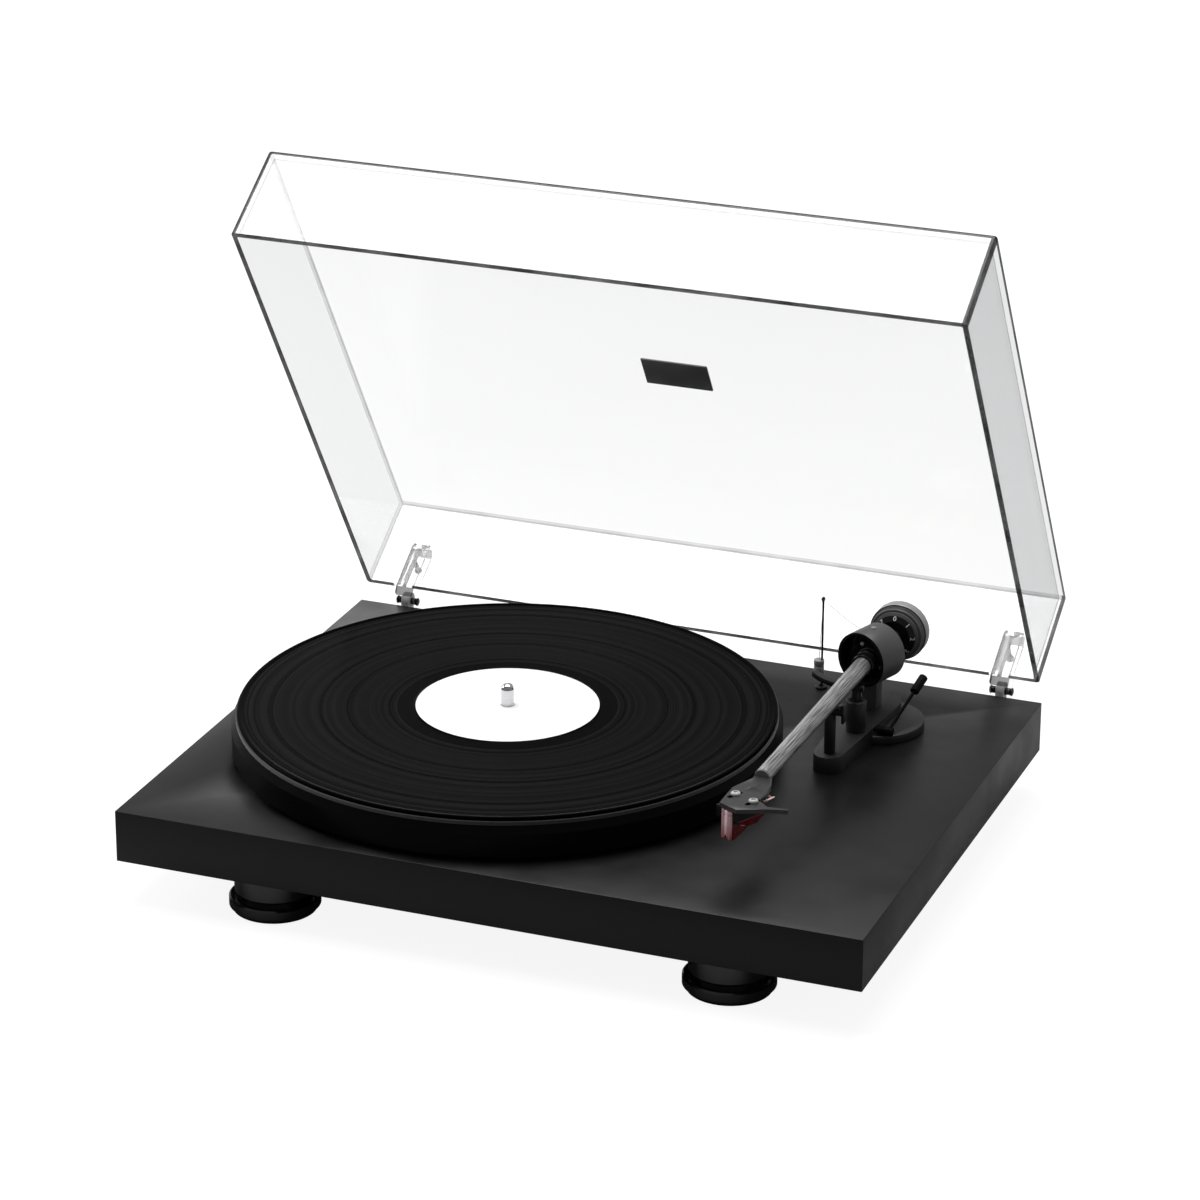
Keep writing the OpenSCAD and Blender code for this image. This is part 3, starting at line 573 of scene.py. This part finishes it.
def record_profile():
    """Radius and height of the pressed record, in millimetres: bead, lead-in, tracks and run-out."""
    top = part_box("record")[1].z / MM
    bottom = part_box("record")[0].z / MM
    hole = 3.62
    p = [(hole, bottom), (146.4, bottom), (146.85, bottom + 0.35), (147.0, bottom + 0.8),
         (146.9, top - 0.6), (146.5, top - 0.12), (145.9, top), (145.2, top - 0.02),
         (144.4, top - 0.2), (143.6, top - 0.36), (142.6, top - 0.38)]
    edge = 142.4
    for inner in (126.8, 112.4, 99.0, 83.6, 70.2, 60.6):
        p += [(edge, top - 0.31), (inner + 0.5, top - 0.31), (inner + 0.35, top - 0.33),
              (inner + 0.15, top - 0.33)]
        edge = inner
    return p + [(59.8, top - 0.34), (51.4, top - 0.3), (50.7, top - 0.05), (50.3, top), (hole, top),
                (hole, bottom)]


record = lathe(
    "record_pressed", record_profile(), 256, [Matrix.Translation((SPINDLE.x, SPINDLE.y, 0))], [M["vinyl"]],
    "platter_group", angle=6)
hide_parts("record")


# ---- Dust cover ----

BACK = 157.0


def cover_shell():
    """Clear box, open below, drawn closed and then swung open: inner skin, rim and outer skin in one loft."""
    half_x, half_y, bottom, top, wall = 205, BACK, 0.5, 60.5, 3.0
    arc, strip, outer_r = 4, 0.9, 1.9
    block_low, block_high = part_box("hinge_blocks")
    inward = block_high.x / MM - 11.4
    hinge_spans = [block_high.x / MM, inward, -inward, block_low.x / MM]

    def outline(inset, radius, z):
        points = []
        for quarter, (sx, sy) in enumerate(((1, 1), (-1, 1), (-1, -1), (1, -1))):
            for k in range(arc + 1):
                a = (quarter + k / arc) * math.pi / 2
                ahead = Vector((-math.sin(a), math.cos(a), 0)) * strip
                point = Vector((
                    sx * (half_x - inset - radius) + radius * math.cos(a),
                    sy * (half_y - inset - radius) + radius * math.sin(a), z))
                points += [point - ahead] if k == 0 else []
                points.append(point)
                points += [point + ahead] if k == arc else []
            if quarter == 0:
                points += [Vector((x, half_y - inset, z)) for x in hinge_spans]
        return points

    def skin(inset, radius, chamfer, height):
        rows = [outline(inset + chamfer, radius, bottom), outline(inset, radius, bottom + abs(chamfer)),
                outline(inset, radius, height - radius - strip)]
        for k in range(arc + 1):
            a = k / arc * math.pi / 2
            rows.append(outline(inset + radius * (1 - math.cos(a)), max(radius * math.cos(a), 0.02),
                                height - radius + radius * math.sin(a)))
        return rows

    bm = bmesh.new()
    loft(bm, skin(wall, 0.8, -0.4, top - wall)[::-1] + skin(0, outer_r, 0.5, top), True, True)
    bmesh.ops.recalc_face_normals(bm, faces=bm.faces)
    for f in bm.faces:
        c = f.calc_center_median()
        depths = (half_x - abs(c.x), half_y - abs(c.y), top - c.z)
        outside = min(depths) < outer_r
        marked = c.y < -150 or (c.x > 200 and (c.z > top - 3 or c.y > 150))
        at_edge = sum(d < outer_r + strip for d in depths) > 1
        behind_block = c.y > 150 and inward < abs(c.x) < block_high.x / MM
        # Painted shade of bent light: the rim, the marked outer corner edges and the slanted faces get the
        # dark edge looks.
        if c.z < bottom + 0.6:
            f.material_index = 0 if behind_block else 3
        elif outside and marked and at_edge:
            f.material_index = 1
        elif max(abs(v) for v in f.normal) < 0.999:
            f.material_index = 2
    bmesh.ops.transform(bm, matrix=COVER @ Matrix.Scale(MM, 4), verts=bm.verts)
    return to_mesh(bm, "cover_shell")


def edge_glass(name, dark, share):
    """Painted shade for the dark edge of a clear sheet, where bent light darkens it: a share of it is solid,
    and the background shows through the rest.
    """
    g = Graph(name)
    streak = g.noise(50, 3)
    body = g.shader(
        Base_Color=g.blend(streak, grey(dark * 0.6), grey(dark * 1.4)),
        Roughness=g.remap(streak, 0.3, 0.7, 0.1, 0.2), Specular_IOR_Level=0.2)
    clear = g.node("ShaderNodeBsdfTransparent", {"Color": (0.95, 0.95, 0.95, 1)}).outputs[0]
    solid = g.remap(streak, 0.3, 0.7, share - 0.06, share + 0.06)
    return g.finish(g.node("ShaderNodeMixShader", {0: solid, 1: clear, 2: body}).outputs[0])


# Painted shade of bent light on the cover's corners, slanted faces and rim.
cover_looks = [M["cover_acrylic"], edge_glass("cover_corner_painted_shade", 0.006, 0.92),
               edge_glass("cover_inner_corner_painted_shade", 0.3, 0.3), edge_glass("cover_rim_painted_shade", 0.006, 0.93)]
cover = add("cover_shell", cover_shell(), cover_looks, "cover_body", 25)
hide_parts("dust_cover")

BLOCK_X = (-181.5, 181.5)
hinge_at = (DECK.inverted() @ HINGE) / MM


def in_block(x, across, y, z):
    """A point of a hinge block, given in the closed cover's frame in millimetres, where it stands now."""
    return COVER @ (Vector((x + across, y, z)) * MM)


def hinge_clevises():
    """Clear blocks that hold the hinge pins: a bevelled bar on the rear wall, with a lobe round the pin."""
    deep, lobe = BACK + 8.5, hinge_at.y
    side = [Vector(p) for p in (
        (BACK, 33.4), (BACK, 1.2), (BACK + 2.6, -3.4), (lobe - 3, -5.6), (lobe + 2, -5.4), (lobe + 5.2, -2.0),
        (lobe + 4.4, 3.4), (deep + 1.2, 7.6), (deep, 10), (deep, 29), (deep - 3, 33.4))]
    centre = Vector((BACK + 4.4, 10))
    # Strips of faces along the block's edges get the dark edge looks: painted shade of bent light.
    dark, faint = 1, 2
    looks = [{0: dark, 1: dark, 8: faint, 9: faint}, dict.fromkeys((1, 9), faint),
             dict.fromkeys((0, 1, 8, 9, 10), faint)]
    bm = bmesh.new()
    for x in BLOCK_X:
        rows = [[in_block(x, across, *(p + (centre - p).normalized() * inset)) for p in side]
                for across, inset in ((-5.7, 1.9), (-4.2, 0), (4.9, 0), (5.7, 0.9))]
        first = len(bm.faces)
        loft(bm, rows, True, True)
        bm.faces.ensure_lookup_table()
        for number, face in enumerate(bm.faces[first:first + len(looks) * len(side)]):
            strip, part = divmod(number, len(side))
            face.material_index = looks[strip].get(part, 0)
    return to_mesh(bm, "hinge_clevises")


def block_marks():
    """Dark strips inside each clear block, which stand for the bent light that shows there."""
    bm = bmesh.new()
    marks = (
        ((-1.6, 2), (0.5, 2), (0.5, 30), (-1.6, 30)), ((-0.4, 33), (5.0, 33), (2.6, 29.6), (1.0, 29.2)),
        ((-5.4, 3), (-3.4, 3), (-3.4, 29.5), (-5.4, 29.5)), ((-4.8, 31), (-3.8, 31), (-3.6, 33), (-4.6, 33)))
    for x in BLOCK_X:
        for number, mark in enumerate(marks):
            rows = [[in_block(x, a, BACK + depth, z) for a, z in mark] for depth in (0.5, 1.3)]
            first = len(bm.faces)
            loft(bm, rows, True, True)
            bm.faces.ensure_lookup_table()
            for face in bm.faces[first:]:
                face.material_index = min(number, 1)
    return to_mesh(bm, "block_marks")


def hinge_pin_set():
    """The steel pins through the blocks and the screws that hold the blocks to the cover."""
    bm = bmesh.new()
    sideways = Matrix.Rotation(math.radians(90), 4, "Y")
    rearward = FORWARD.inverted()
    pin_profile = ((1.6, -6.8), (2.3, -6.4), (2.3, -5.8), (1.98, -5.7),
                   (1.98, 5.7), (2.3, 5.8), (2.3, 6.4), (1.6, 6.8))
    screw_profile = ((1.45, 0.1), (1.45, 8.6), (2.3, 8.7), (2.2, 9.5), (1.2, 9.8), (0.9, 9.3))
    for x in BLOCK_X:
        pin = COVER @ Matrix.Translation(Vector((x, hinge_at.y, hinge_at.z)) * MM) @ sideways
        screw = COVER @ Matrix.Translation(Vector((x, BACK, 20)) * MM) @ rearward
        for profile, place in ((pin_profile, pin), (screw_profile, screw)):
            loft(bm, [circle(r, z, 24, place) for r, z in profile], True, True)
    return to_mesh(bm, "hinge_pin_set")


# Painted shade of bent light along the edges and inside the clear blocks.
block_edge_painted_shade = edge_glass("block_edge_painted_shade", 0.01, 0.94)
block_looks = [M["block_clear"], block_edge_painted_shade, edge_glass("block_faint_painted_shade", 0.03, 0.72)]
blocks = add("hinge_clevises", hinge_clevises(), block_looks, "cover_body", 20)
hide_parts("hinge_blocks")
mark_looks = [edge_glass("block_mark_painted_shade", 0.02, 0.86), block_edge_painted_shade]
add("hinge_block_marks", block_marks(), mark_looks, "cover_body", 20)
pins = add("hinge_pin_set", hinge_pin_set(), [M["screw_black"]], "cover_body")
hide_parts("hinge_pins")


# ---- Scale numbers on the dial ----

def scale_numbers():
    """The digits 0 to 7 round the dial's cone, slightly raised."""
    pieces = []
    for i in range(8):
        curve = bpy.data.curves.new(f"digit_{i}", "FONT")
        curve.body = str(i)
        curve.size = 3.8 * MM
        curve.align_x = "CENTER"
        curve.align_y = "CENTER"
        curve.extrude = 0.04 * MM
        text = bpy.data.objects.new(f"digit_{i}", curve)
        bpy.context.scene.collection.objects.link(text)
        pieces.append(text)
    bpy.context.view_layer.update()
    bm = bmesh.new()
    slope = math.atan2(13.4 - 9.0, 40.4 - 38.0)
    for i, text in enumerate(pieces):
        mesh = bpy.data.meshes.new_from_object(text.evaluated_get(bpy.context.evaluated_depsgraph_get()))
        turn = math.radians(45 * i)
        seat = (ARM @ Matrix.Translation((0, 38.86 * MM, -3.8 * MM)) @ Matrix.Rotation(turn, 4, "Y")
                @ Matrix.Translation((0, 0, 10.5 * MM)) @ Matrix.Rotation(slope, 4, "X"))
        mesh.transform(seat)
        bm.from_mesh(mesh)
        bpy.data.meshes.remove(mesh)
        bpy.data.objects.remove(text)
    return to_mesh(bm, "scale_numbers")


lathe("dial_bezel", [(12.0, 39.55), (13.45, 40.34), (13.5, 40.6), (13.5, 41.5)], 64,
      [TAIL @ FORWARD.inverted()], [shaded_rim], "scale_dial")
add("scale_numbers", scale_numbers(), [coated("number_paint", grey(0.85), 0.5)], "scale_dial")


# ---- Headshell and cartridge ----

SCREW_OUT = 6.35


def head_place(point):
    """A point in the headshell's frame, in millimetres."""
    return (HEAD.inverted() @ point) / MM


def head_slots():
    """Two long holes, one round each cartridge screw."""
    bm = bmesh.new()
    for side in (-1, 1):
        turns = [math.pi * (k + 0.5) / 8 for k in range(16)]
        outline = [(side * SCREW_OUT + 1.4 * math.cos(a),
                    (3.2 if math.sin(a) > 0 else -4.4) + 1.4 * math.sin(a)) for a in turns]
        loft(bm, [[HEAD @ (Vector((x, y, z)) * MM) for x, y in outline] for z in (-2.6, 1)], True, True)
    return to_mesh(bm, "head_slots")


def plug_top():
    """What stands above the head plate in front of the tube's end."""
    bm = bmesh.new()
    corners = [(-12, -204), (12, -204), (12, -185.2), (-12, -185.2)]
    loft(bm, [[ARM @ (Vector((x, y, z)) * MM) for x, y in corners] for z in (0.62, 8)], True, True)
    return to_mesh(bm, "plug_top")


def stylus_shell():
    """Needle carrier: ribbed front shield with a V cut in its foot, and a wedge behind it."""
    side = [(12.4, -0.6), (12.9, -0.9), (12.95, -2.5), (12.55, -2.7), (12.55, -3.2), (12.95, -3.4),
            (13.1, -15.9), (12.7, -16.5), (11.2, -16.6), (4, -13.4), (-1, -10.7), (4, -10.7),
            (12.3, -7.0), (12.3, -0.8)]
    half, steps = 3.8, 36
    loops = []
    for i in range(steps + 1):
        x = half * math.sin(math.pi / 2 * (2 * i / steps - 1))
        rib = 0.45 * abs(math.sin(1.5 * math.pi * (x / half + 1))) - 0.5 * abs(x / half) ** 8
        cut = max(0, 2.6 * (1 - abs(x) / 1.3))
        loops.append([])
        for y, z in side:
            ahead = rib if y > 12.5 else 0
            rise = cut if y > 9 and z < -15 else 0
            loops[-1].append(HEAD @ (Vector((x, -y - ahead, z - 2.2 + rise)) * MM))
    bm = bmesh.new()
    loft(bm, loops, True, True)
    return to_mesh(bm, "stylus_shell")


def shield_plastic(name, pale):
    """Red of the shield with a painted reflection that pales it towards its top."""
    g = Graph(name)
    parts = g.node("ShaderNodeSeparateXYZ", {0: g.place}).outputs
    low, high = [v.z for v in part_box("stylus_unit")]
    # Painted reflection: the colour pales with height towards the top.
    rise = g.remap(parts[2], low, high, 0, 1)
    cloud = g.math("MULTIPLY_ADD", g.noise(700, 3), 0.3, g.math("SUBTRACT", rise, 0.15))
    return g.finish(g.shader(
        Base_Color=g.blend(cloud, (0.30, 0.035, 0.04, 1), pale), Roughness=g.remap(cloud, 0, 1, 0.2, 0.3),
        Coat_Weight=0.8, Coat_Roughness=0.1, Normal=g.bump(g.noise(2000, 2), 0.1, 0.00003)))


def plug_end(point):
    """The cut face of the plug, where the arm tube starts; it lies in shade and gets painted light."""
    place = (ARM.inverted() @ point) / MM
    return place.y > -188 and place.z > 0.9


# The middle rib of the shield, which gets a painted highlight.
def shield_middle(point):
    place = head_place(point)
    return place.y < -12.8 and abs(place.x) < 1.1


def red_part(point):
    """The lower part of the cartridge's body, but for its face behind the shield."""
    place = head_place(point)
    return place.z < RED_BELOW and place.x > -4 and place.y > -12


RED_BELOW = -7.0
UNDERSIDE, UNDERSIDE_RISE = -12, 1.5
carve(finished["headshell"], plug_top())
carve(finished["headshell"], head_slots())
# Painted light: the plug's shaded cut face is given a lighter grey.
repaint(finished["headshell"], coated("plug_face_painted_light", grey(0.12), 0.5, grain=2600), plug_end)
screw_places = [HEAD @ Matrix.Translation((side * SCREW_OUT * MM, 0, 0)) for side in (-1, 1)]
pan_head = [(1.22, -6.2), (1.22, 0.02), (2.5, 0.02), (2.62, 0.35), (2.5, 1.0), (2.1, 1.45), (1.5, 1.6),
            (1.25, 1.6), (1.1, 0.9), (0.6, 0.8), (0.55, 1.2), (0.1, 1.25)]
screw_zinc = coated("screw_zinc", grey(0.4), 0.4, grain=2600)
screws = lathe("cartridge_pan_screws", pan_head, 36, screw_places, [screw_zinc], "tonearm",
               (True, True), 50)
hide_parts("cartridge_screws")
stylus = add("stylus_shell", stylus_shell(), [M["stylus_red"]], "tonearm", 30)
# Painted reflection on the shield's front, and a painted highlight on its middle rib.
repaint(stylus, shield_plastic("shield_rose_painted_reflection", (0.50, 0.27, 0.30, 1)),
        lambda point: head_place(point).y < -12.5)
repaint(stylus, shield_plastic("shield_rib_painted_highlight", (0.95, 0.78, 0.80, 1)), shield_middle)
for vertex in finished["cartridge_body"].data.vertices:
    if head_place(vertex.co).z < UNDERSIDE:
        vertex.co += HEAD.to_3x3() @ Vector((0, 0, UNDERSIDE_RISE * MM))
split_across(finished["cartridge_body"], HEAD, RED_BELOW)
repaint(finished["cartridge_body"], M["stylus_red"], red_part)
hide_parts("stylus_unit")
lathe("cartridge_pins", [(0.55, 0), (0.55, 3.2), (0.35, 3.6)], 12,
      [HEAD @ Matrix.Translation((x * MM, 7.6 * MM, z * MM)) @ FORWARD.inverted()
       for x in (-3, 3) for z in (-4.2, -6.4)], [M["socket_gold"]], "tonearm", (True, True))
for i, (colour, x, z) in enumerate((((0.80, 0.66, 0.60, 1), 3, -4.2), ((0.45, 0.14, 0.12, 1), 3, -6.4),
                                    ((0.72, 0.58, 0.46, 1), -3, -4.2), ((0.35, 0.33, 0.36, 1), -3, -6.4))):
    route = [(-12.6 + 0.4 * i, 25, -2.6), (-7, 22 - 0.3 * i, -4.6), (1, 18.5 - 0.4 * i, -4.4),
             (6.4 - 0.5 * i, 15 - 0.6 * i, -1.6 - 0.3 * i), (8.6 - 0.9 * i, 11.5 - 0.4 * i, -0.4 - 0.5 * i),
             (7.2 - 0.9 * i, 9.4, -1.6 - 0.6 * i), (x + 0.6, 11.2, z), (x, 9.6, z)]
    sleeving = coated(f"lead_sleeve_{i + 1}", colour, 0.35, grain=3000)
    tube(f"lead_{i + 1}", smooth_path(route, 7), 0.32, sleeving, "tonearm", 8, HEAD)


# ---- Anti-skating thread ----

wire_low, wire_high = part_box("thread_wire")
weight_low, weight_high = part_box("skating_weight")
foot = Vector(((wire_high.x - 3.4 * MM), (wire_low.y + wire_high.y) / 2, wire_low.z)) / MM
eye_r, thread_r, knot_r = 0.85, 0.16, 1.1
UP = Vector((0, 0, 1))
EIGHTHS = [k * math.pi / 8 for k in range(17)]
eye = Vector((foot.x, foot.y, wire_high.z / MM - eye_r))
away = Vector((0.36, 0.93, 0))
loop = [eye + (away * math.sin(a) - UP * math.cos(a)) * eye_r for a in EIGHTHS[:-1]]
wire = [foot + UP * z for z in (0.2, 12, 24, 36, 48)] + loop + [loop[0] + UP * 0.2]
guide = tube("guide_wire", wire, 0.6, M["wire_steel"], "chassis", 10)
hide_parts("thread_wire")
foot_profile = [(0.5, 0), (3.2, 0), (3.4, 0.25), (3.4, 1.0), (3.0, 1.4), (1.4, 1.5), (1.0, 2.6), (0.5, 2.8)]
lathe("guide_foot", foot_profile, 32, [Matrix.Translation(foot * MM)], [M["screw_black"]], "chassis",
      (True, True))
middle = (weight_low + weight_high) / 2
hang = Vector((middle.x, middle.y, weight_high.z - 0.3 * MM)) / MM
drop = tube("thread_drop", smooth_path([hang, hang.lerp(eye, 0.7), eye], 8), thread_r, M["thread_nylon"],
            "chassis")
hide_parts("thread")
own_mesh(drop)
peg = (ARM @ Vector((-7.4 * MM, 22 * MM, 1.0 * MM))) / MM
sag = 1.2
run_points = [eye.lerp(peg, k / 16) - UP * sag * math.sin(math.pi * k / 16) for k in range(17)]
run = tube("thread_run", run_points, thread_r, M["thread_nylon"], None)
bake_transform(run)
tube("thread_knot", [peg + Vector((math.cos(a), 0, math.sin(a))) * knot_r for a in EIGHTHS],
     thread_r, M["thread_nylon"], "tonearm")


# ---- Floor, light and camera ----

def stage_floor():
    """A wide pale floor: rays from the camera or through clear parts see it glow, others see it grey."""
    bm = bmesh.new()
    size, cells = 8.0, 8
    steps = [size * (2 * i / cells - 1) for i in range(cells + 1)]
    loft(bm, [[Vector((x, y, 0)) for x in steps] for y in steps], closed=False)
    g = Graph("floor_paint")
    shade = g.noise(1.5, 2)
    unseen, paint = [
        g.shader(Base_Color=g.blend(shade, grey(low), grey(high)), Roughness=0.9, Specular_IOR_Level=0.1)
        for low, high in ((0.33, 0.36), (0.16, 0.18))]
    glow = g.node("ShaderNodeEmission", {"Color": (1, 1, 1, 1), "Strength": 0.9}).outputs[0]
    both = g.node("ShaderNodeAddShader", {0: paint, 1: glow}).outputs[0]
    path = g.node("ShaderNodeLightPath").outputs
    seen = g.math("MAXIMUM", path["Is Camera Ray"], path["Is Transmission Ray"])
    lit = g.node("ShaderNodeMixShader", {0: seen, 1: unseen, 2: both}).outputs[0]
    floor = add("floor", to_mesh(bm, "floor"), [g.finish(lit)], None)


def softbox(name, place, target, size, power):
    """A rectangular area light that points at a target."""
    data = bpy.data.lights.new(name, "AREA")
    data.shape = "RECTANGLE"
    data.size, data.size_y = size
    data.energy = power
    lamp = bpy.data.objects.new(name, data)
    bpy.context.scene.collection.objects.link(lamp)
    lamp.location = place
    lamp.rotation_euler = (Vector(target) - Vector(place)).to_track_quat("-Z", "Y").to_euler()


def studio_world():
    """Plain white surroundings, brighter towards the back."""
    world = bpy.data.worlds.new("studio")
    bpy.context.scene.world = world
    world.use_nodes = True
    tree = world.node_tree
    tree.nodes.clear()
    place = tree.nodes.new("ShaderNodeTexCoord").outputs["Generated"]
    split = tree.nodes.new("ShaderNodeSeparateXYZ")
    tree.links.new(place, split.inputs[0])
    level = tree.nodes.new("ShaderNodeMapRange")
    for socket, value in (("From Min", -0.6), ("From Max", 0.6), ("To Min", 0.22), ("To Max", 0.5)):
        level.inputs[socket].default_value = value
    tree.links.new(split.outputs[1], level.inputs["Value"])
    back = tree.nodes.new("ShaderNodeBackground")
    back.inputs["Color"].default_value = (1, 1, 1, 1)
    tree.links.new(level.outputs[0], back.inputs["Strength"])
    out = tree.nodes.new("ShaderNodeOutputWorld")
    tree.links.new(back.outputs[0], out.inputs["Surface"])


def photo_camera():
    """The camera as the photograph's perspective gives it: place, aim, slight roll and lens."""
    data = bpy.data.cameras.new("camera")
    data.sensor_width = 36
    data.lens = 4525.35 / 1200 * 36
    data.clip_start, data.clip_end = 0.05, 60
    camera = bpy.data.objects.new("camera", data)
    bpy.context.scene.collection.objects.link(camera)
    ahead = Vector((-0.33363, 0.86443, -0.37610)).normalized()
    right = ahead.cross(Vector((0, 0, 1))).normalized()
    up = right.cross(ahead)
    roll = math.radians(0.232)
    right, up = right * math.cos(roll) + up * math.sin(roll), up * math.cos(roll) - right * math.sin(roll)
    turn = Matrix((right, up, -ahead)).transposed().to_4x4()
    camera.matrix_world = Matrix.Translation((0.81218, -2.11882, 1.05499)) @ turn
    bpy.context.scene.camera = camera


stage_floor()
studio_world()
softbox("left_light", (-1.5, 0.1, 0.9), (0, 0, 0.05), (0.9, 0.7), 9)
softbox("top_light", (-0.2, 0.25, 1.7), (0, 0, 0), (1.4, 1.0), 34)
softbox("rim_light", (-1.35, 1.9, 0.3), (0.1, 0, 0.08), (1.0, 0.5), 2.0)
photo_camera()
bpy.context.scene.view_settings.view_transform = "Standard"
